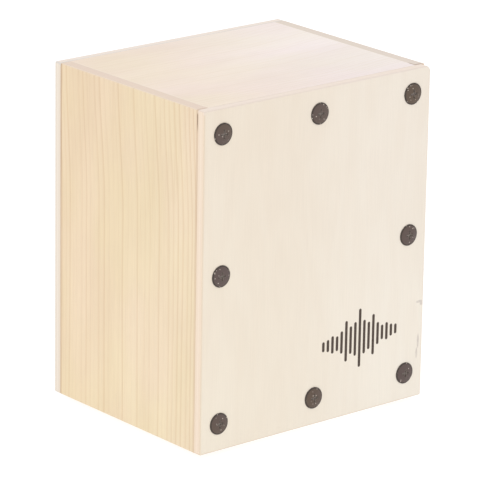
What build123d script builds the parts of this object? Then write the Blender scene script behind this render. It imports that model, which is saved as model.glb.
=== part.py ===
from build123d import *
import os
from math import cos, radians, sin, sqrt

# A small box drum (a mini cajon), in millimetres. +Z is up, the tapa (the playing panel)
# looks towards -Y, X runs across it from the player's left to right as seen from the front,
# and the origin is on the floor under the middle of the box.

# Box, outer sizes and board thicknesses
BOX_WIDTH = 184.0
BOX_DEPTH = 148.0
BOX_HEIGHT = 220.0
BOARD = 8.0
PANEL = 6.0
OUTER_ROUND = 0.8
JOINT_CHAMFER = 0.25
PANEL_CORNER = 1.0
TAPA_WORN_CORNER = 4.0

# Battens: width across the panel face, depth away from it
BATTEN_WIDTH = 16.0
BATTEN_DEPTH = 18.0
GLUE_BLOCK_LEG = 12.0

# Sound hole in the back panel
SOUND_HOLE_RADIUS = 30.0
SOUND_HOLE_HEIGHT = 138.0
SOUND_HOLE_ROUND = 1.5

# Tapa screws: black truss heads with a cross recess
TAPA_HEAD_RADIUS = 7.0
TAPA_HEAD_HEIGHT = 1.8
TAPA_SHANK_RADIUS = 2.2
TAPA_SCREW_LENGTH = 20.0
TAPA_SCREW_FROM_SIDE = 14.8
TAPA_SCREW_FROM_TOP = 16.2
TAPA_SCREW_FROM_BOTTOM = 18.0
LEFT_MIDDLE_SCREW_RAISE = 2.7
TAPA_HOLE_RADIUS = 2.5

# Rubber feet and their screws
FOOT_HEIGHT = 3.5
FOOT_RADIUS = 8.0
FOOT_TIP_RADIUS = 7.2
FOOT_INSET = 20.0
FOOT_RECESS_RADIUS = 4.2
FOOT_RECESS_DEPTH = 2.0
FOOT_HEAD_RADIUS = 3.6
FOOT_HEAD_HEIGHT = 1.6
FOOT_SHANK_RADIUS = 1.5
FOOT_SCREW_LENGTH = 8.0

# Snare bar: a beech dowel across the front frame, with a flat towards the tapa
BAR_RADIUS = 7.0
BAR_AXIS_BEHIND_TAPA = 8.4
BAR_FLAT = 5.5
BAR_HEIGHT_IN_BOX = 170.0
JOURNAL_RADIUS = 3.94
JOURNAL_LENGTH = 13.0
BUSH_BORE_RADIUS = 4.0
BUSH_RADIUS = 5.0
BUSH_LENGTH = 12.0
FLANGE_RADIUS = 7.0
FLANGE_THICKNESS = 1.5
RING_THICKNESS = 1.4
RING_BORE_RADIUS = 3.96
RUNNING_GAP = 0.05

# Peg that turns the bar
PEG_RADIUS = 3.0
PEG_REACH = 37.0
PEG_SOCKET_DEPTH = 5.5
PEG_TIP_ROUND = 1.4

# Snares: a plate on the bar's flat carries each row of strands, which fan outwards
PLATE_WIDTH = 30.0
PLATE_HEIGHT = 8.0
PLATE_THICKNESS = 0.8
PLATE_CORNER = 1.5
PLATE_OFFSET = 27.0
STRAND_RADIUS = 0.9
STRAND_LENGTH = 80.0
STRAND_COUNT = 7
STRAND_PITCH = 3.6
FIRST_STRAND_ANGLE = 2.0
STRAND_ANGLE_STEP = 1.5
STRAND_TOP_BELOW_AXIS = 0.5
PLATE_SCREW_SPACING = 20.0
PLATE_SCREW_ABOVE_AXIS = 1.8
PLATE_HEAD_RADIUS = 1.9
PLATE_HEAD_HEIGHT = 0.6
PLATE_SHANK_RADIUS = 0.9
PLATE_SCREW_LENGTH = 6.0

# Screw shape: shares of the head's height, or of the head's or the shank's radius
HEAD_RIM_SHARE = 0.25
RECESS_WIDTH_PER_RADIUS = 0.85
RECESS_DEPTH_SHARE = 0.7
RECESS_ARM_SHARE = 0.26
RECESS_TAPER = 12.0
TIP_LENGTH_PER_RADIUS = 1.8
BLUNT_TIP_SHARE = 0.15

# Fits and holes
HOLE_GAP = 0.02
PILOT_EXTRA_DEPTH = 1.0

# How far a cutting body runs past the face it cuts, and a joined one into its neighbour
OVERRUN = 1.0

# Planes worked out from the sizes above
LEFT = -BOX_WIDTH / 2
RIGHT = BOX_WIDTH / 2
FRONT = -BOX_DEPTH / 2
BACK = BOX_DEPTH / 2
BOTTOM = FOOT_HEIGHT
TOP = FOOT_HEIGHT + BOX_HEIGHT
IN_LEFT = LEFT + BOARD
IN_RIGHT = RIGHT - BOARD
IN_FRONT = FRONT + PANEL
IN_BACK = BACK - PANEL
IN_BOTTOM = BOTTOM + BOARD
IN_TOP = TOP - BOARD
BAR_Y = IN_FRONT + BAR_AXIS_BEHIND_TAPA
BAR_Z = BOTTOM + BAR_HEIGHT_IN_BOX
FLAT_Y = BAR_Y - BAR_FLAT
PLATE_FRONT_Y = FLAT_Y - PLATE_THICKNESS
STILE_INNER_X = IN_RIGHT - BATTEN_WIDTH
BAR_HALF = STILE_INNER_X - FLANGE_THICKNESS - 2 * RUNNING_GAP - RING_THICKNESS

SCREW_LEFT = LEFT + TAPA_SCREW_FROM_SIDE
SCREW_RIGHT = RIGHT - TAPA_SCREW_FROM_SIDE
SCREW_LOW = BOTTOM + TAPA_SCREW_FROM_BOTTOM
SCREW_HIGH = TOP - TAPA_SCREW_FROM_TOP
SCREW_MIDDLE = (SCREW_LOW + SCREW_HIGH) / 2
TAPA_SCREWS = [(x, z) for z in (SCREW_LOW, SCREW_HIGH) for x in (SCREW_LEFT, 0.0, SCREW_RIGHT)]
TAPA_SCREWS += [(SCREW_LEFT, SCREW_MIDDLE + LEFT_MIDDLE_SCREW_RAISE), (SCREW_RIGHT, SCREW_MIDDLE)]
FOOT_SPOTS = {
    "front_left": (LEFT + FOOT_INSET, FRONT + FOOT_INSET),
    "front_right": (RIGHT - FOOT_INSET, FRONT + FOOT_INSET),
    "rear_left": (LEFT + FOOT_INSET, BACK - FOOT_INSET),
    "rear_right": (RIGHT - FOOT_INSET, BACK - FOOT_INSET),
}
SIDES = {"left": -1, "right": 1}


def block(x, y, z):
    """A box between the two values given for each axis."""
    spans = (x, y, z)
    size = [high - low for low, high in spans]
    middle = [(low + high) / 2 for low, high in spans]
    return Pos(*middle) * Box(*size)


def y_rod(radius, x, y, z):
    """A round rod along Y between the two values in y."""
    return Pos(x, (y[0] + y[1]) / 2, z) * Rot(90, 0, 0) * Cylinder(radius, y[1] - y[0])


def x_rod(radius, x, y, z):
    """A round rod along X between the two values in x."""
    return Pos((x[0] + x[1]) / 2, y, z) * Rot(0, 90, 0) * Cylinder(radius, x[1] - x[0])


def is_upper_right(edge):
    """True for an edge in the upper right quarter of the front."""
    return edge.center().X > 0 and edge.center().Z > (BOTTOM + TOP) / 2


def outer_panel(y, front_face, upper_right_corner=PANEL_CORNER):
    """A front or back panel: rounded corners, a rounded outer rim and a fine chamfer at the joint."""
    outer, inner = (0, -1) if front_face else (-1, 0)
    panel = block((LEFT, RIGHT), y, (BOTTOM, TOP))
    panel = fillet(panel.edges().filter_by(Axis.Y).filter_by(is_upper_right), upper_right_corner)
    others = panel.edges().filter_by(Axis.Y).filter_by(lambda e: not is_upper_right(e))
    panel = fillet(others, PANEL_CORNER)
    panel = fillet(panel.faces().sort_by(Axis.Y)[outer].edges(), OUTER_ROUND)
    return chamfer(panel.faces().sort_by(Axis.Y)[inner].edges(), JOINT_CHAMFER)


def tapa():
    """The thin playing panel, with a clearance hole for each screw and its upper right corner worn."""
    panel = outer_panel((FRONT, IN_FRONT), True, TAPA_WORN_CORNER)
    for x, z in TAPA_SCREWS:
        panel -= y_rod(TAPA_HOLE_RADIUS, x, (FRONT - OVERRUN, IN_FRONT + OVERRUN), z)
    return panel


def back_panel():
    """The back panel with its round sound hole, rounded over on the outside."""
    panel = outer_panel((IN_BACK, BACK), False)
    panel -= y_rod(SOUND_HOLE_RADIUS, 0, (IN_BACK - OVERRUN, BACK + OVERRUN), SOUND_HOLE_HEIGHT)
    rims = panel.edges().filter_by(GeomType.CIRCLE)
    rims = rims.filter_by(lambda e: abs(e.radius - SOUND_HOLE_RADIUS) < HOLE_GAP)
    return fillet(rims.sort_by(Axis.Y)[-1], SOUND_HOLE_ROUND)


def side_board(side):
    """A full-height side board, eased along its outer edges."""
    outer = 0 if side < 0 else -1
    x = sorted((side * (RIGHT - BOARD), side * RIGHT))
    board = block(x, (IN_FRONT, IN_BACK), (BOTTOM, TOP))
    board = fillet(board.faces().sort_by(Axis.X)[outer].edges().filter_by(Axis.Y), OUTER_ROUND)
    return chamfer(board.faces().sort_by(Axis.X)[outer].edges().filter_by(Axis.Z), JOINT_CHAMFER)


def top_board():
    """The top board, between the side boards."""
    return block((IN_LEFT, IN_RIGHT), (IN_FRONT, IN_BACK), (IN_TOP, TOP))


def bottom_board():
    """The bottom board, with a blind pilot hole for each foot screw."""
    board = block((IN_LEFT, IN_RIGHT), (IN_FRONT, IN_BACK), (BOTTOM, IN_BOTTOM))
    depth = FOOT_SCREW_LENGTH - (FOOT_HEIGHT - FOOT_RECESS_DEPTH) + PILOT_EXTRA_DEPTH / 2
    for x, y in FOOT_SPOTS.values():
        pilot = Cylinder(FOOT_SHANK_RADIUS + HOLE_GAP, depth)
        board -= Pos(x, y, BOTTOM + depth / 2) * pilot
    return board


def with_tapa_pilots(batten):
    """Bores the blind pilot holes of the tapa screws that reach this batten."""
    end = FRONT + TAPA_SCREW_LENGTH + PILOT_EXTRA_DEPTH
    for x, z in TAPA_SCREWS:
        batten -= y_rod(TAPA_SHANK_RADIUS + HOLE_GAP, x, (IN_FRONT - OVERRUN, end), z)
    return batten


def stile(side, y):
    """An upright batten glued in a side board's corner."""
    x = sorted((side * STILE_INNER_X, side * IN_RIGHT))
    return block(x, y, (IN_BOTTOM, IN_TOP))


def front_stile(side):
    """A front stile, bored for three tapa screws and for the snare bar's bush."""
    batten = with_tapa_pilots(stile(side, (IN_FRONT, IN_FRONT + BATTEN_DEPTH)))
    bottom = STILE_INNER_X + BUSH_LENGTH + PILOT_EXTRA_DEPTH
    ends = sorted((side * (STILE_INNER_X - OVERRUN), side * bottom))
    return batten - x_rod(BUSH_RADIUS + HOLE_GAP, ends, BAR_Y, BAR_Z)


def rear_stile(side):
    """A rear stile, plain."""
    return stile(side, (IN_BACK - BATTEN_DEPTH, IN_BACK))


def rail(y, z):
    """A level batten between two stiles."""
    return block((-STILE_INNER_X, STILE_INNER_X), y, z)


def glue_block(side, top):
    """A three-cornered strip in the corner between a side board and the top or bottom board."""
    x, z = side * IN_RIGHT, IN_TOP if top else IN_BOTTOM
    down = -GLUE_BLOCK_LEG if top else GLUE_BLOCK_LEG
    length = IN_BACK - IN_FRONT - 2 * BATTEN_DEPTH
    corner = Polyline((x, z), (x - side * GLUE_BLOCK_LEG, z), (x, z + down), close=True)
    return extrude(Plane.XZ * make_face(corner), length / 2, both=True)


def cross_recess(width, depth):
    """The tapered cross of a screwdriver recess, cut down from z = 0."""
    arm = width * RECESS_ARM_SHARE
    outline = Rectangle(width, arm) + Rectangle(arm, width)
    return extrude(outline, -depth, taper=RECESS_TAPER)


def screw(head_radius, head_height, shank_radius, length):
    """A wood screw with a low domed head. Its axis is Z and the head's underside is at z = 0.
    Its point is blunt."""
    rim = head_height * HEAD_RIM_SHARE
    tip = shank_radius * TIP_LENGTH_PER_RADIUS
    blunt = shank_radius * BLUNT_TIP_SHARE
    profile = Polyline((0, -length), (blunt, -length), (shank_radius, -length + tip), (shank_radius, 0))
    profile += Polyline((shank_radius, 0), (head_radius, 0), (head_radius, rim))
    rise = head_height - rim
    crown_radius = (head_radius**2 + rise**2) / (2 * rise)
    crown_middle = head_height - crown_radius
    half = head_radius / 2
    on_crown = crown_middle + sqrt(crown_radius**2 - half**2)
    profile += ThreePointArc((head_radius, rim), (half, on_crown), (0, head_height))
    profile += Line((0, head_height), (0, -length))
    body = revolve(Plane.XZ * make_face(profile), Axis.Z)
    recess = cross_recess(head_radius * RECESS_WIDTH_PER_RADIUS, head_height * RECESS_DEPTH_SHARE)
    return body - Pos(0, 0, head_height) * recess


def tapa_screws():
    """The eight screws that hold the tapa, heads to the front."""
    one = screw(TAPA_HEAD_RADIUS, TAPA_HEAD_HEIGHT, TAPA_SHANK_RADIUS, TAPA_SCREW_LENGTH)
    return Compound([Pos(x, FRONT, z) * Rot(90, 0, 0) * one for x, z in TAPA_SCREWS])


def foot(x, y):
    """A rubber foot, tapered down, with a through hole and a recess for its screw head."""
    body = Pos(x, y, FOOT_HEIGHT / 2) * Cone(FOOT_TIP_RADIUS, FOOT_RADIUS, FOOT_HEIGHT)
    body = fillet(body.edges().sort_by(Axis.Z)[0], OUTER_ROUND)
    body -= Pos(x, y, FOOT_HEIGHT / 2) * Cylinder(FOOT_SHANK_RADIUS + HOLE_GAP, FOOT_HEIGHT + OVERRUN)
    return body - Pos(x, y, FOOT_RECESS_DEPTH / 2) * Cylinder(FOOT_RECESS_RADIUS, FOOT_RECESS_DEPTH)


def foot_screws():
    """The four screws through the feet, heads down and clear of the floor."""
    one = screw(FOOT_HEAD_RADIUS, FOOT_HEAD_HEIGHT, FOOT_SHANK_RADIUS, FOOT_SCREW_LENGTH)
    spots = FOOT_SPOTS.values()
    return Compound([Pos(x, y, FOOT_RECESS_DEPTH) * Rot(180, 0, 0) * one for x, y in spots])


def plate_screw_spots():
    """The X of each snare plate screw."""
    half = PLATE_SCREW_SPACING / 2
    return [side * PLATE_OFFSET + step for side in (-1, 1) for step in (-half, half)]


def snare_bar():
    """The dowel: a flat towards the tapa, a journal at each end, a peg socket and pilot holes."""
    bar = x_rod(BAR_RADIUS, (-BAR_HALF, BAR_HALF), BAR_Y, BAR_Z)
    cut = BAR_HALF + OVERRUN
    bar -= block((-cut, cut), (BAR_Y - 2 * BAR_RADIUS, FLAT_Y), (BAR_Z - cut, BAR_Z + cut))
    for side in SIDES.values():
        ends = sorted((side * (BAR_HALF - OVERRUN), side * (BAR_HALF + JOURNAL_LENGTH)))
        bar += x_rod(JOURNAL_RADIUS, ends, BAR_Y, BAR_Z)
    socket = (BAR_Y + BAR_RADIUS - PEG_SOCKET_DEPTH, BAR_Y + BAR_RADIUS + OVERRUN)
    bar -= y_rod(PEG_RADIUS + HOLE_GAP, 0, socket, BAR_Z)
    pilot_end = PLATE_FRONT_Y + PLATE_SCREW_LENGTH + PILOT_EXTRA_DEPTH
    for x in plate_screw_spots():
        pilot = (FLAT_Y - OVERRUN, pilot_end)
        bar -= y_rod(PLATE_SHANK_RADIUS + HOLE_GAP, x, pilot, BAR_Z + PLATE_SCREW_ABOVE_AXIS)
    return bar


def snare_peg():
    """The finger peg, pointing to the sound hole."""
    start = BAR_Y + BAR_RADIUS - PEG_SOCKET_DEPTH
    peg = y_rod(PEG_RADIUS, 0, (start, BAR_Y + PEG_REACH), BAR_Z)
    return fillet(peg.edges().filter_by(GeomType.CIRCLE).sort_by(Axis.Y)[-1], PEG_TIP_ROUND)


def snare_bush(side):
    """A flanged bush let into a stile."""
    start = STILE_INNER_X - FLANGE_THICKNESS
    end = STILE_INNER_X + BUSH_LENGTH
    flange = sorted((side * start, side * STILE_INNER_X))
    body = sorted((side * (STILE_INNER_X - OVERRUN), side * end))
    bore = sorted((side * (start - OVERRUN), side * (end + OVERRUN)))
    bush = x_rod(FLANGE_RADIUS, flange, BAR_Y, BAR_Z) + x_rod(BUSH_RADIUS, body, BAR_Y, BAR_Z)
    return bush - x_rod(BUSH_BORE_RADIUS, bore, BAR_Y, BAR_Z)


def friction_ring(side):
    """A rubber ring on a journal, between the bar's shoulder and the bush's flange."""
    start = BAR_HALF + RUNNING_GAP
    ends = sorted((side * start, side * (start + RING_THICKNESS)))
    cut = sorted((side * (start - OVERRUN), side * (start + RING_THICKNESS + OVERRUN)))
    ring = x_rod(FLANGE_RADIUS, ends, BAR_Y, BAR_Z)
    return ring - x_rod(RING_BORE_RADIUS, cut, BAR_Y, BAR_Z)


def snare_plate(side):
    """A thin steel plate on the bar's flat, with two screw holes."""
    middle = side * PLATE_OFFSET
    x = (middle - PLATE_WIDTH / 2, middle + PLATE_WIDTH / 2)
    plate = block(x, (PLATE_FRONT_Y, FLAT_Y), (BAR_Z - PLATE_HEIGHT / 2, BAR_Z + PLATE_HEIGHT / 2))
    plate = fillet(plate.edges().filter_by(Axis.Y), PLATE_CORNER)
    for step in (-PLATE_SCREW_SPACING / 2, PLATE_SCREW_SPACING / 2):
        hole = (PLATE_FRONT_Y - OVERRUN, FLAT_Y + OVERRUN)
        plate -= y_rod(PLATE_SHANK_RADIUS + HOLE_GAP, middle + step, hole, BAR_Z + PLATE_SCREW_ABOVE_AXIS)
    return plate


def snare_strands(side):
    """One row of strands, each a solid of its coil's outer size, fanning out towards its side board."""
    strands = []
    for i in range(STRAND_COUNT):
        x = side * (PLATE_OFFSET + (i - (STRAND_COUNT - 1) / 2) * STRAND_PITCH)
        angle = FIRST_STRAND_ANGLE + i * STRAND_ANGLE_STEP
        half = STRAND_LENGTH / 2
        middle_x = x + side * half * sin(radians(angle))
        middle_z = BAR_Z - STRAND_TOP_BELOW_AXIS - half * cos(radians(angle))
        rod = Rot(0, -side * angle, 0) * Cylinder(STRAND_RADIUS, STRAND_LENGTH)
        strands.append(Pos(middle_x, PLATE_FRONT_Y - STRAND_RADIUS, middle_z) * rod)
    return Compound(strands)


def plate_screws():
    """The small screws that hold the snare plates on the bar."""
    one = screw(PLATE_HEAD_RADIUS, PLATE_HEAD_HEIGHT, PLATE_SHANK_RADIUS, PLATE_SCREW_LENGTH)
    z = BAR_Z + PLATE_SCREW_ABOVE_AXIS
    return Compound([Pos(x, PLATE_FRONT_Y, z) * Rot(90, 0, 0) * one for x in plate_screw_spots()])


def nodes():
    """Every sub-part by name."""
    front_y = (IN_FRONT, IN_FRONT + BATTEN_DEPTH)
    rear_y = (IN_BACK - BATTEN_DEPTH, IN_BACK)
    low_z = (IN_BOTTOM, IN_BOTTOM + BATTEN_WIDTH)
    high_z = (IN_TOP - BATTEN_WIDTH, IN_TOP)
    parts = {
        "tapa": tapa(),
        "back_panel": back_panel(),
        "top_board": top_board(),
        "bottom_board": bottom_board(),
        "front_bottom_rail": with_tapa_pilots(rail(front_y, low_z)),
        "front_top_rail": with_tapa_pilots(rail(front_y, high_z)),
        "rear_bottom_rail": rail(rear_y, low_z),
        "rear_top_rail": rail(rear_y, high_z),
        "tapa_screws": tapa_screws(),
        "foot_screws": foot_screws(),
        "snare_bar": snare_bar(),
        "snare_peg": snare_peg(),
        "snare_plate_screws": plate_screws(),
    }
    for name, side in SIDES.items():
        parts[f"{name}_side_board"] = side_board(side)
        parts[f"front_{name}_stile"] = front_stile(side)
        parts[f"rear_{name}_stile"] = rear_stile(side)
        parts[f"top_{name}_glue_block"] = glue_block(side, top=True)
        parts[f"bottom_{name}_glue_block"] = glue_block(side, top=False)
        parts[f"snare_bush_{name}"] = snare_bush(side)
        parts[f"friction_ring_{name}"] = friction_ring(side)
        parts[f"snare_plate_{name}"] = snare_plate(side)
        parts[f"snare_strands_{name}"] = snare_strands(side)
    for name, (x, y) in FOOT_SPOTS.items():
        parts[f"{name}_foot"] = foot(x, y)
    return parts


os.makedirs("parts", exist_ok=True)
for node_name, shape in nodes().items():
    export_step(shape, f"parts/{node_name}.step")
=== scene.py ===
import math

import bpy
from mathutils import Matrix, Vector


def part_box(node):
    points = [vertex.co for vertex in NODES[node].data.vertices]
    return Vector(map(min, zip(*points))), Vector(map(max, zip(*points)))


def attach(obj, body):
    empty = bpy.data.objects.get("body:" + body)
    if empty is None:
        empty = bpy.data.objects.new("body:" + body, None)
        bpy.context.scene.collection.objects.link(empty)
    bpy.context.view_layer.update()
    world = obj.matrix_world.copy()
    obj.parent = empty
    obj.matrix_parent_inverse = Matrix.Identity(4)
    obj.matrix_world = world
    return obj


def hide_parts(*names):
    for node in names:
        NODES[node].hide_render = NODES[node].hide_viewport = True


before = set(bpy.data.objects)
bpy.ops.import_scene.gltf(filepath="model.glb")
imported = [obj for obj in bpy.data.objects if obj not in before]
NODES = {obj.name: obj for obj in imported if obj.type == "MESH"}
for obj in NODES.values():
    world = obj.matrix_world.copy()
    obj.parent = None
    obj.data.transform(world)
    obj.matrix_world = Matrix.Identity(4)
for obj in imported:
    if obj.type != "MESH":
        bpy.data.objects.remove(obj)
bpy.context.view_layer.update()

# A small wooden box drum in a pale studio. Lengths are in metres, but materials work in
# millimetres, and so do the values whose name or comment says so.

MM = 0.001
SIDES = {"left": -1, "right": 1}


def rgb(red, green, blue):
    """A linear colour from sRGB values out of 255."""
    def linear(value):
        value /= 255
        return value / 12.92 if value <= 0.04045 else ((value + 0.055) / 1.055) ** 2.4
    return (linear(red), linear(green), linear(blue), 1.0)


def grey(value):
    """A linear grey."""
    return (value, value, value, 1.0)


def evenly(factor):
    """The same factor for red, green and blue."""
    return (factor, factor, factor)


# ---------------------------------------------------------------- shader building

# How far patches of the surface shift the line up to which an edge is worn, on pine, and darkened with
# painted shade, on plywood (mm)
RAGGED_EDGE = 0.8


class Shader:
    """One material's node tree. Coordinates are the object's own, in millimetres."""

    def __init__(self, name):
        self.material = bpy.data.materials.new(name)
        self.material.use_nodes = True
        self.tree = self.material.node_tree
        self.tree.nodes.clear()
        self.surface = self.new("ShaderNodeBsdfPrincipled")
        output = self.new("ShaderNodeOutputMaterial")
        self.tree.links.new(self.surface.outputs["BSDF"], output.inputs["Surface"])
        coordinates = self.new("ShaderNodeTexCoord")
        self.place = self.scale(coordinates.outputs["Object"], 1 / MM)
        self.x, self.y, self.z = self.split(self.place)
        self.normal = self.split(coordinates.outputs["Normal"])

    def new(self, kind, **settings):
        node = self.tree.nodes.new(kind)
        for key, value in settings.items():
            setattr(node, key, value)
        return node

    def put(self, value, socket):
        """Joins a socket to a socket, or sets it to a constant."""
        if isinstance(value, bpy.types.NodeSocket):
            self.tree.links.new(value, socket)
        else:
            socket.default_value = value

    def set(self, name, value):
        """Sets one of the surface's own inputs."""
        self.put(value, self.surface.inputs[name])

    def math(self, operation, *values):
        node = self.new("ShaderNodeMath", operation=operation)
        for value, socket in zip(values, node.inputs):
            self.put(value, socket)
        return node.outputs[0]

    def plus(self, first, second):
        return self.math("ADD", first, second)

    def minus(self, first, second):
        return self.math("SUBTRACT", first, second)

    def times(self, first, second):
        return self.math("MULTIPLY", first, second)

    def larger(self, first, second):
        return self.math("MAXIMUM", first, second)

    def vector(self, operation, *values):
        node = self.new("ShaderNodeVectorMath", operation=operation)
        for value, socket in zip(values, node.inputs):
            self.put(value, socket)
        return node.outputs["Vector"]

    def scale(self, vector, factor):
        node = self.new("ShaderNodeVectorMath", operation="SCALE")
        self.put(vector, node.inputs[0])
        self.put(factor, node.inputs["Scale"])
        return node.outputs["Vector"]

    def split(self, vector):
        node = self.new("ShaderNodeSeparateXYZ")
        self.put(vector, node.inputs[0])
        return tuple(node.outputs)

    def join(self, x, y, z):
        node = self.new("ShaderNodeCombineXYZ")
        for value, socket in zip((x, y, z), node.inputs):
            self.put(value, socket)
        return node.outputs[0]

    def noise(self, vector, detail=2.0, roughness=0.5, output="Fac"):
        """Smooth noise from 0 to 1, one blob per unit of the vector."""
        node = self.new("ShaderNodeTexNoise")
        self.put(vector, node.inputs["Vector"])
        self.put(1.0, node.inputs["Scale"])
        self.put(detail, node.inputs["Detail"])
        self.put(roughness, node.inputs["Roughness"])
        return node.outputs[output]

    def random_per(self, value):
        """A random number from 0 to 1 for each whole value."""
        node = self.new("ShaderNodeTexWhiteNoise", noise_dimensions="1D")
        self.put(value, node.inputs["W"])
        return node.outputs["Value"]

    def cells(self, vector, output="Distance"):
        """Scattered spots, one per unit of the vector: the distance to the nearest, or its colour."""
        node = self.new("ShaderNodeTexVoronoi")
        self.put(vector, node.inputs["Vector"])
        self.put(1.0, node.inputs["Scale"])
        self.put(1.0, node.inputs["Randomness"])
        return node.outputs[output]

    def step(self, value, low, high, start=0.0, end=1.0):
        """A smooth step from start, at low, to end, at high."""
        node = self.new("ShaderNodeMapRange", interpolation_type="SMOOTHSTEP")
        names = ("Value", "From Min", "From Max", "To Min", "To Max")
        for item, name in zip((value, low, high, start, end), names):
            self.put(item, node.inputs[name])
        return node.outputs[0]

    def drop(self, value, low, high):
        """A smooth step down from 1, at low, to 0, at high."""
        return self.step(value, low, high, 1.0, 0.0)

    def mix(self, factor, first, second, blend="MIX"):
        node = self.new("ShaderNodeMix", data_type="RGBA", blend_type=blend)
        self.put(factor, node.inputs["Factor"])
        self.put(first, node.inputs["A"])
        self.put(second, node.inputs["B"])
        return node.outputs["Result"]

    def tint(self, colour, value, low, high, start, end):
        """Multiplies a colour by start where the value is low, and by end where it is high."""
        factors = [self.step(value, low, high, first, last) for first, last in zip(start, end)]
        return self.mix(1.0, colour, self.join(*factors), "MULTIPLY")

    def fade(self, colour, node, light_ramps):
        """Painted light: tints a board's colour from end to end, as if light fell brighter at one end.
        Each ramp is an axis and the factors at its two ends.
        """
        low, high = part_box(node)
        for axis, start, end in light_ramps:
            i = "XYZ".index(axis)
            value = (self.x, self.y, self.z)[i]
            colour = self.tint(colour, value, low[i] / MM, high[i] / MM, start, end)
        return colour

    def stretched(self, along, cell, seed=0.0):
        """Coordinates for noise whose cells have a width across the grain axis and a length along it."""
        across_mm, along_mm = cell
        sizes = [along_mm if axis == along else across_mm for axis in "XYZ"]
        scaled = self.vector("MULTIPLY", self.place, tuple(1 / size for size in sizes))
        return self.vector("ADD", scaled, (seed, seed * 0.7, seed * 0.3))

    def bump(self, height, depth, strength=0.5):
        """A surface normal from heights between 0 and 1 that stand for a depth in metres."""
        node = self.new("ShaderNodeBump")
        self.put(height, node.inputs["Height"])
        self.put(depth, node.inputs["Distance"])
        self.put(strength, node.inputs["Strength"])
        return node.outputs[0]

    def edge_distance(self, node):
        """Millimetres from the nearest edge of a node's box, for a point on its faces."""
        gaps = []
        for value, start, end in zip((self.x, self.y, self.z), *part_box(node)):
            inside = self.minus(value, start / MM)
            outside = self.minus(end / MM, value)
            gaps.append(self.math("MINIMUM", inside, outside))
        least = self.math("MINIMUM", gaps[0], gaps[1])
        most = self.larger(gaps[0], gaps[1])
        return self.larger(least, self.math("MINIMUM", most, gaps[2]))

    def worn_and_shaded_edges(self, node, patch, near, far):
        """1 along a node's edges and 0 on its faces, with a ragged limit near to far millimetres in."""
        ragged = self.plus(self.edge_distance(node), self.times(patch, RAGGED_EDGE))
        return self.drop(ragged, near, far)


# ---------------------------------------------------------------- pine

# Cells of pine's features, across and along the grain (mm). Each feature adds a number of its own to
# its board's seed, so that no two line up.
WARP_CELL = (38.0, 260.0)
THREAD_CELL = (1.0, 130.0)
FIBRE_CELL = (0.42, 16.0)
FINE_CELL = (0.16, 5.0)
PATCH_CELL = (30.0, 110.0)
HUE_CELL = (38.0, 75.0)
DUCT_CELL = (3.2, 42.0)
DUCT_GROUP_CELL = (9.0, 60.0)
PIT_CELL = (0.35, 0.35)
SEEP_CELL = (2.0, 14.0)

# How far growth rings wander, and how far they lean aside between two shares of a board's length
WARP_MM = 5.0
SWEEP_MM = 5.0
SWEEP_SHARES = (0.62, 1.05)

# Growth rings bunch and spread: they drift by up to this many rings, over this many ring widths
DRIFT_RINGS = 3.0
DRIFT_WIDTHS = 4.5

# Where in a ring its latewood rises and ends, and how faint the faintest is
LATEWOOD_RISE = (0.46, 0.90)
LATEWOOD_END = (0.93, 1.0)
FAINTEST_RING = 0.15

# A side board's joints: how far in a glue line reaches, and how strong it is between two heights (mm)
GLUE_LINE_REACH = (0.7, 1.7)
GLUE_SEEP = 0.6
FRONT_LINE_HEIGHTS = (100.0, 175.0)
FRONT_LINE_STRENGTHS = (0.13, 0.26)
BACK_LINE_HEIGHTS = (100.0, 190.0)
BACK_LINE_STRENGTHS = (0.3, 0.5)

# The painted shade of a gap near the top of a front joint: how far below the top it grows in and dies out,
# and its width (mm)
GAP_START = (16.0, 7.0)
GAP_END = (3.5, 1.5)
GAP_WIDTH = (0.5, 1.0)

# The painted shade of a gap round an open corner: how wide it is, and how far it runs across and back (mm)
CORNER_GAP_WIDTH = (0.8, 1.4)
CORNER_GAP_ACROSS = (4.5, 6.5)
CORNER_GAP_BACK = (5.0, 8.0)

GLUE_LINE = rgb(160, 116, 84)
JOINT_GAP_SHADE = rgb(112, 82, 62)
CORNER_GAP_SHADE = rgb(146, 116, 102)
BARE_WOOD = (1.0, 0.96, 0.9, 1.0)


def growth_rings(s, node, grain, pith, pitch, seed):
    """How much latewood there is, from 0 to 1: 3-D rings round the pith, and a few fine dark threads."""
    low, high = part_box(node)
    warp = s.noise(s.stretched(grain, WARP_CELL, seed), output="Color")
    warp = s.scale(s.vector("SUBTRACT", warp, evenly(0.5)), WARP_MM)
    waved = s.split(s.vector("ADD", s.place, warp))
    index = "XYZ".index(grain)
    length = (high[index] - low[index]) / MM
    along = s.math("DIVIDE", s.minus((s.x, s.y, s.z)[index], low[index] / MM), length)
    sweep = s.step(along, *SWEEP_SHARES, 0.0, -SWEEP_MM)
    waved = [s.plus(value, sweep) for value in waved]
    across = [value for value, axis in zip(waved, "XYZ") if axis != grain]
    first, second = (s.minus(value, centre) for value, centre in zip(across, pith))
    radius = s.math("SQRT", s.plus(s.times(first, first), s.times(second, second)))
    drift = s.noise(s.join(s.math("DIVIDE", radius, pitch * DRIFT_WIDTHS), seed, 0.0), detail=1)
    rings = s.plus(s.math("DIVIDE", radius, pitch), s.times(drift, DRIFT_RINGS))
    part = s.math("FRACT", rings)
    strength = s.step(s.random_per(s.math("FLOOR", rings)), 0, 1, FAINTEST_RING, 1.0)
    band = s.times(s.step(part, *LATEWOOD_RISE), s.drop(part, *LATEWOOD_END))
    threads = s.noise(s.stretched(grain, THREAD_CELL, seed + 27), roughness=0.6)
    return s.larger(s.times(band, strength), s.step(threads, 0.54, 0.74, 0.0, 0.75))


def resin_ducts(s, grain, seed):
    """Short fine dark lines along the grain, in groups."""
    ducts = s.cells(s.stretched(grain, DUCT_CELL, seed + 21))
    groups = s.noise(s.stretched(grain, DUCT_GROUP_CELL, seed + 2), detail=0)
    return s.times(s.drop(ducts, 0.05, 0.11), s.step(groups, 0.5, 0.6))


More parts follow.
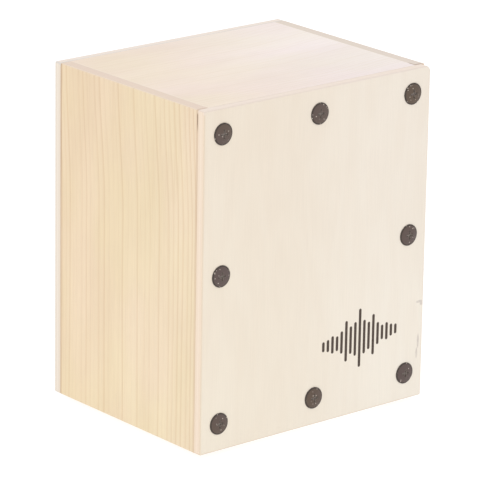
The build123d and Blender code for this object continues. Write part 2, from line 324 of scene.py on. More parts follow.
def side_joints(s, colour, node, end, seed, open_corner):
    """The joints at a side board's front and back edges: dark glue lines, stronger towards the top,
    and painted shade in a hairline gap at the top of the front one. An open corner has painted shade in a
    short gap on its end grain."""
    low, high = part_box(node)
    top = high.z / MM
    to_front = s.minus(s.y, low.y / MM)
    to_back = s.minus(high.y / MM, s.y)
    seep = s.times(s.noise(s.stretched("Z", SEEP_CELL, seed + 41)), GLUE_SEEP)
    front_strength = s.step(s.z, *FRONT_LINE_HEIGHTS, *FRONT_LINE_STRENGTHS)
    back_strength = s.step(s.z, *BACK_LINE_HEIGHTS, *BACK_LINE_STRENGTHS)
    back_strength = s.times(s.minus(1.0, end), back_strength)
    for gap, strength in ((to_front, front_strength), (to_back, back_strength)):
        line = s.drop(s.minus(gap, seep), *GLUE_LINE_REACH)
        colour = s.mix(s.times(line, strength), colour, GLUE_LINE)
    # Painted shade: a dark hairline where the gap at the top of the front joint lies in shadow.
    start = s.step(s.z, top - GAP_START[0], top - GAP_START[1])
    stop = s.drop(s.z, top - GAP_END[0], top - GAP_END[1])
    hairline_shade = s.times(s.times(start, stop), s.drop(to_front, *GAP_WIDTH))
    colour = s.mix(s.times(hairline_shade, 0.7), colour, JOINT_GAP_SHADE)
    # Painted shade in the gap where the open corner stands away from the tapa.
    if open_corner:
        inner = s.minus(s.x, low.x / MM)
        across = s.times(s.drop(to_front, *CORNER_GAP_WIDTH), s.drop(inner, *CORNER_GAP_ACROSS))
        beside = s.times(s.drop(inner, *CORNER_GAP_WIDTH), s.drop(to_front, *CORNER_GAP_BACK))
        gap = s.times(s.larger(across, beside), end)
        colour = s.mix(s.times(gap, 0.6), colour, CORNER_GAP_SHADE)
    return colour


def pine(name, node, grain, pith, pitch, colours, contrast=1.0, seed=0.0,
         light_ramps=(), joints=False, open_corner=False):
    """Solid softwood: 3-D growth rings round a pith, fine fibres, resin ducts, end grain and eased edges.

    grain is the axis the fibres run along, pith the ring centre on the other two axes (mm), pitch the
    ring width (mm), and colours those of the earlywood, the latewood and the sawn ends. A side board
    also has joints."""
    s = Shader(name)
    early, late, sawn = colours
    latewood = growth_rings(s, node, grain, pith, pitch, seed)
    fibre = s.noise(s.stretched(grain, FIBRE_CELL, seed + 5), detail=3, roughness=0.62)
    fine = s.noise(s.stretched(grain, FINE_CELL, seed + 9))
    patch = s.noise(s.stretched(grain, PATCH_CELL, seed + 13), detail=3)
    hue = s.noise(s.stretched(grain, HUE_CELL, seed + 17), detail=1)
    colour = s.mix(s.times(latewood, contrast), early, late)
    colour = s.tint(colour, patch, 0.25, 0.75, (0.975, 0.96, 0.93), evenly(1.03))
    colour = s.tint(colour, hue, 0.3, 0.7, (1.0, 0.987, 1.003), (1.0, 1.012, 0.97))
    colour = s.tint(colour, fibre, 0.2, 0.8, evenly(0.955), evenly(1.04))
    # Painted light: the board is tinted paler at the foot and cooler and brighter towards one end.
    colour = s.fade(colour, node, light_ramps)
    colour = s.mix(s.times(resin_ducts(s, grain, seed), 0.16), colour, late)

    end = s.step(s.math("ABSOLUTE", s.normal["XYZ".index(grain)]), 0.55, 0.85)
    pits = s.cells(s.stretched(grain, PIT_CELL, seed + 31))
    end_colour = s.tint(s.mix(0.8, colour, sawn), pits, 0.1, 0.6, evenly(0.93), evenly(1.0))
    colour = s.mix(end, colour, end_colour)

    wear_and_shade = s.worn_and_shaded_edges(node, patch, 0.5, 1.6)
    # Worn edges, paler towards bare wood.
    colour = s.mix(s.times(wear_and_shade, 0.22), colour, s.mix(0.5, early, BARE_WOOD))
    if joints:
        colour = side_joints(s, colour, node, end, seed, open_corner)

    s.set("Base Color", colour)
    rough = s.minus(s.step(fibre, 0.2, 0.8, 0.44, 0.56), s.times(latewood, 0.06))
    s.set("Roughness", s.plus(rough, s.times(end, 0.2)))
    s.set("Specular IOR Level", 0.35)
    height = s.plus(s.times(fibre, 0.6), s.times(fine, 0.4))
    height = s.plus(height, s.times(latewood, 0.45))
    s.set("Normal", s.bump(height, 0.12 * MM))
    return s.material


# ---------------------------------------------------------------- birch plywood

# Cells of a face veneer's features, across and along the grain, and of a cut edge's (mm)
BROAD_CELL = (34.0, 170.0)
VENEER_PATCH_CELL = (46.0, 90.0)
FLECK_CELL = (0.3, 3.4)
VENEER_FIBRE_CELL = (0.5, 24.0)
PLY_WANDER_CELL = (18.0, 4.0)
GRIT_CELL = (0.5, 0.35)

# Broad noise is folded into this many radians of waves, which are the veneer's peeled bands
BAND_RADIANS = 42.0
PLIES = 5

# How far below a panel's top the painted shade along its top edge starts and is full (mm)
TOP_EDGE_SHADE_BAND = (3.0, 1.5)

FACE_VENEER = rgb(224, 213, 198)
SHADED_VENEER = rgb(219, 205, 188)
SCUFF = rgb(176, 166, 162)
PLY_GLUE = rgb(168, 128, 92)
PAINTED_TOP_LIGHT = rgb(239, 226, 217)


def scuffed(s, colour, node, scuffs, flecks):
    """Grey rubs on a panel's front. Each has its middle in from the right and up from the foot, its
    half width and its half height (mm)."""
    low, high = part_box(node)
    for from_right, from_foot, half_width, half_height in scuffs:
        across = s.math("DIVIDE", s.minus(s.x, high.x / MM - from_right), half_width)
        upward = s.math("DIVIDE", s.minus(s.z, low.z / MM + from_foot), half_height)
        reach = s.plus(s.times(across, across), s.times(upward, upward))
        rubbed = s.times(s.drop(reach, 0.2, 1.0), s.step(flecks, 0.3, 0.6, 0.5, 1.0))
        colour = s.mix(s.times(rubbed, 0.6), colour, SCUFF)
    return colour


def plies(s, node, light, dark, grit, seed):
    """The colour of a cut edge: odd and even plies with glue between them, and painted light making it
    paler where it faces up.
    """
    low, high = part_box(node)
    thickness = (high.y - low.y) / MM
    depth = s.math("DIVIDE", s.minus(s.y, low.y / MM), thickness / PLIES)
    wander = s.noise(s.stretched("Y", PLY_WANDER_CELL, seed + 17), detail=1)
    depth = s.plus(depth, s.times(s.minus(wander, 0.5), 0.25))
    odd = s.math("MODULO", s.math("FLOOR", depth), 2.0)
    part = s.math("FRACT", depth)
    glue = s.larger(s.drop(part, 0.03, 0.09), s.step(part, 0.92, 0.98))
    ply = s.mix(s.times(odd, 0.8), light, dark)
    ply = s.mix(s.step(grit, 0.35, 0.75, 0.0, 0.35), ply, dark)
    ply = s.mix(s.times(glue, 0.12), ply, PLY_GLUE)
    # Painted light: the upward-facing cut edges are painted paler, as if lit from above.
    upward = s.step(s.normal[2], 0.5, 0.9)
    return s.mix(s.times(upward, 0.65), ply, PAINTED_TOP_LIGHT)


def plywood(name, node, edge_colours, edge_shades, seed=0.0, light_ramps=(), scuffs=()):
    """Thin birch plywood: rotary-cut face veneers with short vessel flecks, and plies along its edges.

    edge_colours are those of its light and dark plies, and edge_shades the colours of the painted shade
    along its front, back and top edges."""
    s = Shader(name)
    low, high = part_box(node)
    light, dark = edge_colours
    broad = s.noise(s.stretched("Z", BROAD_CELL, seed), roughness=0.45)
    bands = s.step(s.math("SINE", s.times(broad, BAND_RADIANS)), -1, 1)
    patch = s.noise(s.stretched("Z", VENEER_PATCH_CELL, seed + 3))
    flecks = s.noise(s.stretched("Z", FLECK_CELL, seed + 7), roughness=0.6)
    fleck = s.step(flecks, 0.60, 0.72)
    fibre = s.noise(s.stretched("Z", VENEER_FIBRE_CELL, seed + 11), detail=3, roughness=0.6)
    colour = s.mix(s.times(bands, 0.20), FACE_VENEER, SHADED_VENEER)
    colour = s.mix(s.step(patch, 0.3, 0.75, 0.0, 0.35), colour, SHADED_VENEER)
    colour = s.tint(colour, fibre, 0.2, 0.8, evenly(0.975), evenly(1.02))
    # Painted light: the panel is tinted paler at the foot and cooler and brighter towards one end.
    colour = s.fade(colour, node, light_ramps)
    colour = scuffed(s, colour, node, scuffs, flecks)
    colour = s.mix(s.times(fleck, 0.10), colour, dark)

    grit = s.noise(s.stretched("Y", GRIT_CELL, seed + 23), detail=3, roughness=0.7)
    side = s.drop(s.math("ABSOLUTE", s.normal[1]), 0.35, 0.75)
    colour = s.mix(side, colour, plies(s, node, light, dark, grit, seed))

    # Painted shade: the panel's front, back and top edges are darkened towards these colours.
    front_shade, back_shade, top_shade = edge_shades
    top = high.z / MM
    rim = s.mix(s.step(s.y, low.y / MM, high.y / MM), front_shade, back_shade)
    rim = s.mix(s.step(s.z, top - TOP_EDGE_SHADE_BAND[0], top - TOP_EDGE_SHADE_BAND[1]), rim, top_shade)
    wear_and_shade = s.worn_and_shaded_edges(node, patch, 0.6, 1.8)
    colour = s.mix(s.times(wear_and_shade, 0.4), colour, rim)

    s.set("Base Color", colour)
    s.set("Roughness", s.plus(s.step(fibre, 0.2, 0.8, 0.40, 0.50), s.times(side, 0.18)))
    s.set("Specular IOR Level", 0.35)
    height = s.minus(s.times(fibre, 0.5), s.times(fleck, 0.5))
    height = s.plus(height, s.times(s.times(side, grit), 0.8))
    s.set("Normal", s.bump(height, 0.08 * MM))
    return s.material


# ---------------------------------------------------------------- beech

TURNED_CELL = (2.2, 60.0)
RAY_CELL = (0.7, 3.4)
BEECH_FIBRE_CELL = (0.3, 9.0)
BEECH_LIGHT = rgb(216, 176, 134)
BEECH_DARK = rgb(196, 150, 108)
BEECH_RAY = rgb(150, 100, 66)


def beech(name):
    """Turned beech with its short dark ray flecks."""
    s = Shader(name)
    rings = s.noise(s.stretched("X", TURNED_CELL))
    rays = s.cells(s.stretched("X", RAY_CELL, 4))
    ray = s.drop(rays, 0.08, 0.22)
    fibre = s.noise(s.stretched("X", BEECH_FIBRE_CELL, 8), detail=3, roughness=0.6)
    colour = s.mix(rings, BEECH_LIGHT, BEECH_DARK)
    colour = s.mix(s.times(ray, 0.55), colour, BEECH_RAY)
    s.set("Base Color", s.tint(colour, fibre, 0.2, 0.8, evenly(0.92), evenly(1.06)))
    s.set("Roughness", s.step(fibre, 0.2, 0.8, 0.5, 0.66))
    s.set("Specular IOR Level", 0.3)
    s.set("Normal", s.bump(fibre, 0.08 * MM))
    return s.material


# ---------------------------------------------------------------- metal, rubber, plastic, ink

# Depths behind the front of a screw head (mm): its darker rim, and its recess's floor and walls, which are
# painted lighter against their shade
HEAD_RIM_DEPTHS = (0.9, 1.15)
RECESS_FLOOR_DEPTHS = (0.5, 0.7)
RECESS_WALL_DEPTHS = (1.1, 1.2)

OXIDE_WARM = rgb(87, 71, 58)
OXIDE_COOL = rgb(84, 69, 65)
OXIDE_RIM = rgb(54, 44, 38)
RECESS_PAINTED_LIGHT = rgb(138, 128, 121)
GLINT_AND_CHIP = rgb(214, 202, 190)


def black_metal(name, node):
    """Black oxide on the dished screw heads, darkest at the rim, with its recess painted lighter against
    its shade, and small bright specks that are painted glints and worn chips.
    """
    s = Shader(name)
    depth = s.minus(s.y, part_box(node)[0].y / MM)
    facing = s.times(s.normal[1], -1.0)
    grain = s.noise(s.scale(s.place, 2.4), detail=4, roughness=0.65)
    batch = s.noise(s.scale(s.place, 0.02), detail=0)
    colour = s.mix(s.step(batch, 0.35, 0.65), OXIDE_WARM, OXIDE_COOL)
    rim = s.step(depth, *HEAD_RIM_DEPTHS)
    colour = s.mix(s.times(rim, 0.85), colour, OXIDE_RIM)
    # Painted light: the recess's floor and walls are lightened against the shade that falls in them.
    floor = s.times(s.step(depth, *RECESS_FLOOR_DEPTHS), s.step(facing, 0.975, 0.985))
    wall = s.times(s.drop(facing, 0.7, 0.85), s.drop(depth, *RECESS_WALL_DEPTHS))
    colour = s.mix(s.times(s.larger(floor, wall), 0.75), colour, RECESS_PAINTED_LIGHT)
    # Painted glints: small bright specks, which also stand for worn chips.
    spots = s.scale(s.place, 0.8)
    chosen = s.step(s.split(s.cells(spots, "Color"))[0], 0.82, 0.84)
    glint_and_chip = s.times(s.drop(s.cells(spots), 0.22, 0.34), chosen)
    colour = s.mix(s.times(glint_and_chip, 0.7), colour, GLINT_AND_CHIP)
    s.set("Base Color", colour)
    s.set("Metallic", s.times(glint_and_chip, 0.3))
    s.set("Roughness", s.step(grain, 0.25, 0.75, 0.42, 0.62))
    s.set("Specular IOR Level", 0.4)
    s.set("Normal", s.bump(grain, 0.05 * MM))
    return s.material


ZINC = rgb(206, 204, 198)
ROLLED_STEEL = rgb(198, 196, 190)
SPRING_STEEL = rgb(214, 213, 208)
DULL_STEEL = rgb(150, 146, 138)
STEEL_LINE_CELL = (0.12, 6.0)


def steel(name, colour, low_rough, high_rough, along="X"):
    """Bright steel with drawn or rolled lines along an axis and a little dulling."""
    s = Shader(name)
    lines = s.noise(s.stretched(along, STEEL_LINE_CELL, 3), detail=3, roughness=0.6)
    dull = s.noise(s.scale(s.place, 0.35), detail=3)
    s.set("Base Color", s.mix(s.step(dull, 0.4, 0.75, 0.0, 0.5), colour, DULL_STEEL))
    s.set("Metallic", 1.0)
    s.set("Roughness", s.step(lines, 0.25, 0.75, low_rough, high_rough))
    s.set("Normal", s.bump(lines, 0.03 * MM, 0.4))
    return s.material


RUBBER_BLACK = rgb(38, 37, 36)
RUBBER_DUST = rgb(92, 88, 82)


def rubber(name):
    """Matt black moulded rubber with dust in its fine pebble."""
    s = Shader(name)
    pebble = s.cells(s.scale(s.place, 2.2))
    dust = s.noise(s.scale(s.place, 0.25), detail=4, roughness=0.6)
    s.set("Base Color", s.mix(s.step(dust, 0.5, 0.8, 0.0, 0.5), RUBBER_BLACK, RUBBER_DUST))
    s.set("Roughness", s.step(pebble, 0.1, 0.6, 0.72, 0.9))
    s.set("Specular IOR Level", 0.3)
    s.set("Normal", s.bump(pebble, 0.06 * MM))
    return s.material


NYLON_CLEAR = rgb(236, 232, 218)
NYLON_CLOUD = rgb(216, 210, 192)


def nylon(name):
    """Natural nylon, faintly cloudy, with turning lines round its axis."""
    s = Shader(name)
    cloud = s.noise(s.scale(s.place, 0.3), detail=3)
    turned = s.math("SINE", s.times(s.x, 22.0))
    s.set("Base Color", s.mix(cloud, NYLON_CLEAR, NYLON_CLOUD))
    s.set("Roughness", s.step(cloud, 0.3, 0.7, 0.38, 0.5))
    s.set("Subsurface Weight", 0.15)
    s.set("Subsurface Radius", (1.0, 0.9, 0.7))
    s.set("Subsurface Scale", 1.0 * MM)
    s.set("Normal", s.bump(turned, 0.02 * MM, 0.4))
    return s.material


TIN_BRIGHT = rgb(188, 186, 180)
TIN_DULL = rgb(140, 137, 130)


def solder(name):
    """Dull tin solder with small pits."""
    s = Shader(name)
    blotch = s.noise(s.scale(s.place, 0.8), detail=4, roughness=0.65)
    s.set("Base Color", s.mix(blotch, TIN_BRIGHT, TIN_DULL))
    s.set("Metallic", 0.9)
    s.set("Roughness", s.step(blotch, 0.3, 0.7, 0.32, 0.6))
    s.set("Normal", s.bump(blotch, 0.1 * MM))
    return s.material


INK = rgb(72, 60, 52)
THIN_INK = rgb(176, 160, 142)
INK_FIBRE_CELL = (0.3, 3.0)


def print_ink(name):
    """Dark brown screen ink, broken up where it lies over the wood's fibres."""
    s = Shader(name)
    fibre = s.noise(s.stretched("Z", INK_FIBRE_CELL, 51), detail=3, roughness=0.7)
    dots = s.noise(s.scale(s.place, 1.6), detail=3, roughness=0.7)
    thin = s.times(s.step(fibre, 0.52, 0.72), s.step(dots, 0.48, 0.66))
    s.set("Base Color", s.mix(s.times(thin, 0.5), INK, THIN_INK))
    s.set("Roughness", s.step(dots, 0.3, 0.7, 0.55, 0.7))
    s.set("Specular IOR Level", 0.3)
    s.set("Normal", s.bump(fibre, 0.04 * MM, 0.4))
    return s.material


# ---------------------------------------------------------------- painting the CAD nodes

# Seeds this far apart keep each board's figure its own
SEED_STEP = 37.0

# Ring widths (mm), and how strongly rings show
SIDE_RINGS = 4.5
FINE_RINGS = 3.2
SIDE_CONTRAST = 0.34
TOP_CONTRAST = 0.3

# Piths, the middles of the growth rings (mm). The boards' are well outside the wood: the left side
# board's is so far behind it, and the right one's so far in front. A batten's is off its own axis,
# turned by so many radians from one batten to the next.
LEFT_PITH_X = -60.0
LEFT_PITH_BEHIND = 210.0
RIGHT_PITH_X = 75.0
RIGHT_PITH_BEFORE = 190.0
LEVEL_PITHS = {"top_board": (160.0, 330.0), "bottom_board": (-150.0, -120.0)}
BATTEN_PITH = 60.0
BATTEN_TURN = 2.1

# Earlywood, latewood and sawn end colours
PALE_SAWN = rgb(223, 212, 204)
PINKER_SAWN = rgb(229, 210, 197)
SIDE_PINE = (rgb(225, 204, 174), rgb(197, 161, 119))
PALE_PINE = (rgb(237, 223, 213), rgb(224, 203, 181), PALE_SAWN)
BATTEN_PINE = (rgb(228, 200, 156), rgb(196, 152, 104), rgb(206, 172, 128))

# The panels' light and dark plies, and the colours of the painted shade along their front, back and top
# edges
WARM_EDGE_SHADE = rgb(204, 180, 150)
GREY_EDGE_SHADE = rgb(190, 195, 200)
TAPA_PLIES = (rgb(233, 216, 197), rgb(228, 209, 189))
TAPA_EDGE_SHADES = (WARM_EDGE_SHADE, WARM_EDGE_SHADE, rgb(215, 199, 192))
BACK_PLIES = (rgb(231, 221, 208), rgb(224, 211, 196))
BACK_EDGE_SHADES = (WARM_EDGE_SHADE, GREY_EDGE_SHADE, GREY_EDGE_SHADE)
TAPA_SEED = 3.0
BACK_SEED = 71.0

# Painted light along an axis: paler at the foot, as if lit from the floor, and cooler and brighter towards
# the right and the front, as if lit by a cool light there. Factors for red, green and blue at its low and
# high ends
PLAIN = evenly(1.0)
PAINTED_FLOOR_BOUNCE = ("Z", (1.027, 1.044, 1.045), PLAIN)
SIDE_PAINTED_LIGHT = (PAINTED_FLOOR_BOUNCE, ("Y", (0.995, 1.02, 1.06), PLAIN))
TAPA_PAINTED_LIGHT = (PAINTED_FLOOR_BOUNCE, ("X", (1.0, 0.995, 0.98), (1.03, 1.05, 1.085)))
TOP_PAINTED_LIGHT = (
    ("X", (0.995, 0.97, 0.91), (1.03, 1.065, 1.15)),
    ("Y", (1.0, 1.01, 1.04), (0.995, 0.99, 0.97)),
)

# Rubs near the tapa's right edge: in from the right, up from the foot, half width, half height (mm)
TAPA_SCUFFS = (
    (3.4, 64.2, 3.6, 1.1),
    (1.6, 62.6, 1.6, 1.5),
    (3.6, 37.5, 1.1, 6.0),
    (4.6, 29.5, 1.0, 4.5),
)


def paint(material, *nodes):
    """Gives CAD nodes their material."""
    for node in nodes:
        mesh = NODES[node].data
        mesh.materials.clear()
        mesh.materials.append(material)


def paint_boards():
    """The side boards, which stand on their ends, and the top and bottom boards."""
    low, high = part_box("left_side_board")
    sides = {
        "left_side_board": ((LEFT_PITH_X, high.y / MM + LEFT_PITH_BEHIND), PINKER_SAWN),
        "right_side_board": ((RIGHT_PITH_X, low.y / MM - RIGHT_PITH_BEFORE), PALE_SAWN),
    }
    for i, (node, (pith, sawn)) in enumerate(sides.items()):
        wood = pine(node + "_pine", node, "Z", pith, SIDE_RINGS, (*SIDE_PINE, sawn), SIDE_CONTRAST,
                    SEED_STEP * (i + 1), SIDE_PAINTED_LIGHT, joints=True, open_corner=node.startswith("right"))
        paint(wood, node)
    for i, (node, pith) in enumerate(LEVEL_PITHS.items()):
        wood = pine(node + "_pine", node, "X", pith, FINE_RINGS, PALE_PINE, TOP_CONTRAST,
                    SEED_STEP * (i + 4), TOP_PAINTED_LIGHT)
        paint(wood, node)


def paint_battens():
    """The rails, stiles and glue blocks, each with its grain along its length and a pith of its own."""
    battens = [name for name in NODES if name.endswith(("_stile", "_rail", "_glue_block"))]
    for i, node in enumerate(sorted(battens)):
        low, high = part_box(node)
        size = high - low
        grain = "XYZ"[max(range(3), key=lambda k: size[k])]
        middle = (low + high) / 2 / MM
        first, second = (value for value, axis in zip(middle, "XYZ") if axis != grain)
        turn = i * BATTEN_TURN
        pith = (first + BATTEN_PITH * math.sin(turn), second + BATTEN_PITH * math.cos(turn))
        wood = pine(node + "_pine", node, grain, pith, FINE_RINGS, BATTEN_PINE, seed=SEED_STEP * (i + 7))
        paint(wood, node)


def paint_panels():
    """The tapa and the back panel."""
    tapa = plywood("tapa_birch", "tapa", TAPA_PLIES, TAPA_EDGE_SHADES, TAPA_SEED, TAPA_PAINTED_LIGHT, TAPA_SCUFFS)
    paint(tapa, "tapa")
    back = plywood("back_birch", "back_panel", BACK_PLIES, BACK_EDGE_SHADES, BACK_SEED, (PAINTED_FLOOR_BOUNCE,))
    paint(back, "back_panel")


def paint_hardware():
    """The snare bar and its peg, the screws, plates, feet, rings and bushes."""
    paint(beech("turned_beech"), "snare_bar", "snare_peg")
    paint(black_metal("black_oxide", "tapa_screws"), "tapa_screws")
    paint(steel("zinc_plate", ZINC, 0.24, 0.42), "foot_screws", "snare_plate_screws")
    paint(steel("rolled_steel", ROLLED_STEEL, 0.26, 0.44), "snare_plate_left", "snare_plate_right")
    soft = [node for node in NODES if node.endswith("_foot") or node.startswith("friction_ring")]
    paint(rubber("moulded_rubber"), *soft)
    paint(nylon("natural_nylon"), "snare_bush_left", "snare_bush_right")


# ---------------------------------------------------------------- snare strands and solder

# Coiled strands, fanned out from straight down by angles in degrees
COIL_RADIUS = 0.9 * MM
WIRE_RADIUS = 0.2 * MM
COIL_PITCH = 1.15 * MM
TURN_STEPS = 10
WIRE_SIDES = 5
STRAND_COUNT = 7
STRAND_PITCH = 3.6 * MM
STRAND_LENGTH = 80.0 * MM
STRAND_TOP_BELOW_AXIS = 0.5 * MM
FIRST_STRAND_ANGLE = 2.0
STRAND_ANGLE_STEP = 1.5


def mesh_object(name, points, faces, material, smooth=True):
    """A new object from points and faces, in the scene."""
    mesh = bpy.data.meshes.new(name)
    mesh.from_pydata(points, [], faces)
    mesh.validate()
    mesh.materials.append(material)
    mesh.polygons.foreach_set("use_smooth", [smooth] * len(mesh.polygons))
    mesh.update()
    piece = bpy.data.objects.new(name, mesh)
    bpy.context.scene.collection.objects.link(piece)
    return piece


def coil_tube(start, along, points, faces):
    """Adds one strand: a wire wound in a close helix from start for its length, with closed ends."""
    across = along.orthogonal().normalized()
    up = along.cross(across)
    winding = COIL_RADIUS - WIRE_RADIUS
    steps = int(STRAND_LENGTH / COIL_PITCH * TURN_STEPS)
    rise = (STRAND_LENGTH - 2 * WIRE_RADIUS) / steps
    base = len(points)
    for i in range(steps + 1):
        turn = 2 * math.pi * i / TURN_STEPS
        out = across * math.cos(turn) + up * math.sin(turn)
        middle = start + along * (WIRE_RADIUS + i * rise) + out * winding
        for k in range(WIRE_SIDES):
            angle = 2 * math.pi * k / WIRE_SIDES
            points.append(middle + (out * math.cos(angle) + along * math.sin(angle)) * WIRE_RADIUS)
    for i in range(steps):
        for k in range(WIRE_SIDES):
            a = base + i * WIRE_SIDES + k
            b = base + i * WIRE_SIDES + (k + 1) % WIRE_SIDES
            faces.append((a, a + WIRE_SIDES, b + WIRE_SIDES, b))
    faces.append(tuple(base + k for k in range(WIRE_SIDES)))
    faces.append(tuple(base + steps * WIRE_SIDES + k for k in reversed(range(WIRE_SIDES))))


def strand_lines(word):
    """Each strand's top point and direction, from the plate that it is soldered to."""
    side = SIDES[word]
    low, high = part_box("snare_plate_" + word)
    middle_x, middle_z = (low.x + high.x) / 2, (low.z + high.z) / 2
    for i in range(STRAND_COUNT):
        x = middle_x + side * (i - (STRAND_COUNT - 1) / 2) * STRAND_PITCH
        angle = math.radians(FIRST_STRAND_ANGLE + i * STRAND_ANGLE_STEP)
        top = Vector((x, low.y - COIL_RADIUS, middle_z - STRAND_TOP_BELOW_AXIS))
        yield top, Vector((side * math.sin(angle), 0, -math.cos(angle)))


def snare_strands():
    """The coiled strands in place of the plain rods, and the solder that holds them to the plates."""
    wire = steel("spring_steel", SPRING_STEEL, 0.18, 0.34, along="Z")
    tin = solder("tin_solder")
    for word in SIDES:
        points, faces = [], []
        for top, along in strand_lines(word):
            coil_tube(top, along, points, faces)
        strands = mesh_object("coiled_strands_" + word, points, faces, wire)
        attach(strands, "snare")
        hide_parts("snare_strands_" + word)
        seam = solder_seam(word, tin)
        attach(seam, "snare")


# The solder seam across a plate, below the plate's middle and a little past the outer strands
SEAM_COLUMNS = 90
SEAM_ROWS = 8
SEAM_BELOW_MIDDLE = 2.4 * MM
SEAM_PAST_STRANDS = 1.6 * MM
SEAM_SINK = 0.05 * MM
SEAM_HALF_HEIGHT = 1.0 * MM
SEAM_THICKNESS = 0.45 * MM

# How far the seam rises and widens round each strand, and how wide such a lump is
SEAM_RISE = 0.55 * MM
SEAM_WIDENING = 0.25 * MM
LUMP_WIDTH = 0.9 * MM

# At each end the seam tapers over a share of its length, along a quarter wave that starts a little
# way in, so that the end is blunt. Up and down the plate it keeps at least a share of its height.
TAPER_SHARE = 1 / 6
TAPER_START = 0.1
LEAST_HEIGHT_SHARE = 0.35


def solder_seam(word, material):
    """A lumpy half-round seam of solder across the plate, risen round each strand."""
    low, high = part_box("snare_plate_" + word)
    tops = sorted(top.x for top, _ in strand_lines(word))
    middle_z = (low.z + high.z) / 2 - SEAM_BELOW_MIDDLE
    start, end = tops[0] - SEAM_PAST_STRANDS, tops[-1] + SEAM_PAST_STRANDS
    points, faces = [], []
    for i in range(SEAM_COLUMNS + 1):
        x = start + (end - start) * i / SEAM_COLUMNS
        near = min(abs(x - top) for top in tops)
        lump = math.exp(-((near / LUMP_WIDTH) ** 2))
        to_end = min(i, SEAM_COLUMNS - i) / SEAM_COLUMNS
        taper = math.sin(min(1.0, TAPER_START + to_end / TAPER_SHARE) * math.pi / 2)
        half = SEAM_HALF_HEIGHT + SEAM_WIDENING * lump
        half *= LEAST_HEIGHT_SHARE + (1 - LEAST_HEIGHT_SHARE) * taper
        rise = (SEAM_THICKNESS + SEAM_RISE * lump) * taper
        for k in range(SEAM_ROWS + 1):
            angle = math.pi * k / SEAM_ROWS
            y = low.y + SEAM_SINK - rise * math.sin(angle)
            points.append((x, y, middle_z + half * math.cos(angle)))
    row = SEAM_ROWS + 1
    for i in range(SEAM_COLUMNS):
        for k in range(SEAM_ROWS):
            a = i * row + k
            faces.append((a, a + 1, a + row + 1, a + row))
        faces.append((i * row, (i + 1) * row, (i + 1) * row + SEAM_ROWS, i * row + SEAM_ROWS))
    faces.append(tuple(reversed(range(row))))
    faces.append(tuple(range(SEAM_COLUMNS * row, SEAM_COLUMNS * row + row)))
    return mesh_object("solder_seam_" + word, points, faces, material)


# ---------------------------------------------------------------- printed ornament

# The ornament's middle, from the box's middle and from the tapa's foot, and its outer size
ORNAMENT_X = 38.0 * MM
ORNAMENT_Z = 50.0 * MM
ORNAMENT_WIDTH = 63.0 * MM
ORNAMENT_HEIGHT = 39.0 * MM
ORNAMENT_BARS = 17
BAR_WIDTH = 2.1 * MM
ROUND_STEPS = 8
INK_THICKNESS = 0.03 * MM
INK_SINK = 0.05 * MM

# The bars' heights follow a wave that dies away from the middle: shares of the full height
LEAST_BAR_SHARE = 0.16
WAVE_DECAY = 3.2
WAVE_HALF_TURNS = 2.6


def bar_outline(x, z, height):
    """The X and Z of points round an upright bar with round ends."""
    radius = BAR_WIDTH / 2
    straight = height / 2 - radius
    outline = []
    for centre, first in ((z + straight, 0.0), (z - straight, math.pi)):
        for k in range(ROUND_STEPS + 1):
            angle = first + math.pi * k / ROUND_STEPS
            outline.append((x + radius * math.cos(angle), centre + radius * math.sin(angle)))
    return outline


def thin_solid(outline, y_front, y_back, points, faces):
    """Adds a closed solid between two values of Y, with an outline in X and Z."""
    base, count = len(points), len(outline)
    points.extend((x, y_front, z) for x, z in outline)
    points.extend((x, y_back, z) for x, z in outline)
    faces.append(tuple(range(base, base + count)))
    faces.append(tuple(reversed(range(base + count, base + 2 * count))))
    for k in range(count):
        n = (k + 1) % count
        faces.append((base + n, base + k, base + count + k, base + count + n))


def printed_ornament():
    """A plain sound-wave ornament of upright bars, printed low on the right of the tapa."""
    low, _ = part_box("tapa")
    y_front, y_back = low.y - INK_THICKNESS, low.y + INK_SINK
    points, faces = [], []
    for i in range(ORNAMENT_BARS):
        t = 2 * i / (ORNAMENT_BARS - 1) - 1
        wave = math.exp(-WAVE_DECAY * t * t) * abs(math.cos(WAVE_HALF_TURNS * math.pi * t))
        height = ORNAMENT_HEIGHT * (LEAST_BAR_SHARE + (1 - LEAST_BAR_SHARE) * wave)
        x = ORNAMENT_X + t * (ORNAMENT_WIDTH - BAR_WIDTH) / 2
        thin_solid(bar_outline(x, low.z + ORNAMENT_Z, height), y_front, y_back, points, faces)
    ink = print_ink("screen_ink")
    piece = mesh_object("printed_wave_ornament", points, faces, ink, smooth=False)
    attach(piece, "box")


# ---------------------------------------------------------------- studio

# A floor whose paper has a faint speckle, and a plain white sky
FLOOR_HALF = 9.0
FLOOR_DARK = grey(0.37)
FLOOR_LIGHT = grey(0.39)
FLOOR_GLOW = 0.74
SKY_STRENGTH = 1.0

# Each light's place, what it points at, its width and its power in watts
LIGHTS = {
    "key": ((-1.6, -1.1, 1.7), (0, 0, 0.1), 1.2, 4.0),
    "fill": ((1.2, -1.9, 0.9), (0, 0, 0.1), 1.2, 1.5),
    "low_card": ((-0.55, -0.55, 0.06), (0, 0, 0.04), 0.3, 0.5),
}

# Camera: a long lens from the front left and a little above. Angles are in degrees.
CAMERA_AZIMUTH = -40.13
CAMERA_ELEVATION = 17.53
CAMERA_ROLL = 0.96
CAMERA_DISTANCE = 2.391
CAMERA_LENS_MM = 281.6
CAMERA_SENSOR_MM = 36.0
CAMERA_RANGE = (0.1, 100.0)

# How far to the right of the box's middle, and above it, the camera looks
AIM_RIGHT = -0.00003
AIM_UP = -0.00622


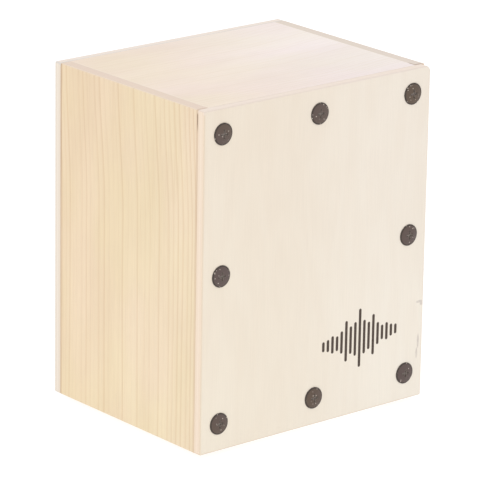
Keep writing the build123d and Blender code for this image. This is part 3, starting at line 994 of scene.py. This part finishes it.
def studio_floor():
    """A wide, flat, pale floor, lit from within until it is white."""
    s = Shader("studio_paper")
    speck = s.noise(s.scale(s.place, 0.02), detail=3)
    s.set("Base Color", s.mix(speck, FLOOR_DARK, FLOOR_LIGHT))
    s.set("Roughness", 0.85)
    s.set("Specular IOR Level", 0.1)
    s.set("Emission Color", grey(1.0))
    s.set("Emission Strength", FLOOR_GLOW)
    points = [(x * FLOOR_HALF, y * FLOOR_HALF, 0.0) for y in (-1, 1) for x in (-1, 1)]
    floor = mesh_object("studio_floor", points, [(0, 1, 3, 2)], s.material, smooth=False)


def area_light(name, place, target, size, power):
    """A square light at a place, turned to a target."""
    light = bpy.data.lights.new(name, "AREA")
    light.shape = "SQUARE"
    light.size = size
    light.energy = power
    lamp = bpy.data.objects.new(name, light)
    lamp.location = place
    lamp.rotation_mode = "QUATERNION"
    lamp.rotation_quaternion = (Vector(target) - Vector(place)).to_track_quat("-Z", "Y")
    bpy.context.scene.collection.objects.link(lamp)


def studio_lights():
    """A bright even tent, with a soft key from the left front, a fill from the right and a low card."""
    world = bpy.data.worlds.new("studio")
    bpy.context.scene.world = world
    world.use_nodes = True
    background = world.node_tree.nodes["Background"]
    background.inputs["Color"].default_value = grey(1.0)
    background.inputs["Strength"].default_value = SKY_STRENGTH
    for name, settings in LIGHTS.items():
        area_light(name, *settings)


def camera():
    """The camera, aimed near the middle of the box between the two panels' outer faces."""
    low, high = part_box("tapa")
    front, back = low.y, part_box("back_panel")[1].y
    centre = Vector(((low.x + high.x) / 2, (front + back) / 2, (low.z + high.z) / 2))
    azimuth = math.radians(CAMERA_AZIMUTH)
    elevation = math.radians(CAMERA_ELEVATION)
    roll = math.radians(CAMERA_ROLL)
    level = math.cos(elevation)
    away = Vector((math.sin(azimuth) * level, -math.cos(azimuth) * level, math.sin(elevation)))
    right = Vector((math.cos(azimuth), math.sin(azimuth), 0.0))
    up = away.cross(right)
    aim = centre + right * AIM_RIGHT + up * AIM_UP
    rolled_right = right * math.cos(roll) + up * math.sin(roll)
    rolled_up = up * math.cos(roll) - right * math.sin(roll)
    data = bpy.data.cameras.new("camera")
    data.lens = CAMERA_LENS_MM
    data.sensor_width = CAMERA_SENSOR_MM
    data.clip_start, data.clip_end = CAMERA_RANGE
    cam = bpy.data.objects.new("camera", data)
    turn = Matrix((rolled_right, rolled_up, away)).transposed().to_4x4()
    cam.matrix_world = Matrix.Translation(aim + away * CAMERA_DISTANCE) @ turn
    bpy.context.scene.collection.objects.link(cam)
    bpy.context.scene.camera = cam


camera()
bpy.context.scene.view_settings.view_transform = "Standard"
studio_floor()
studio_lights()
paint_boards()
paint_battens()
paint_panels()
paint_hardware()
snare_strands()
printed_ornament()
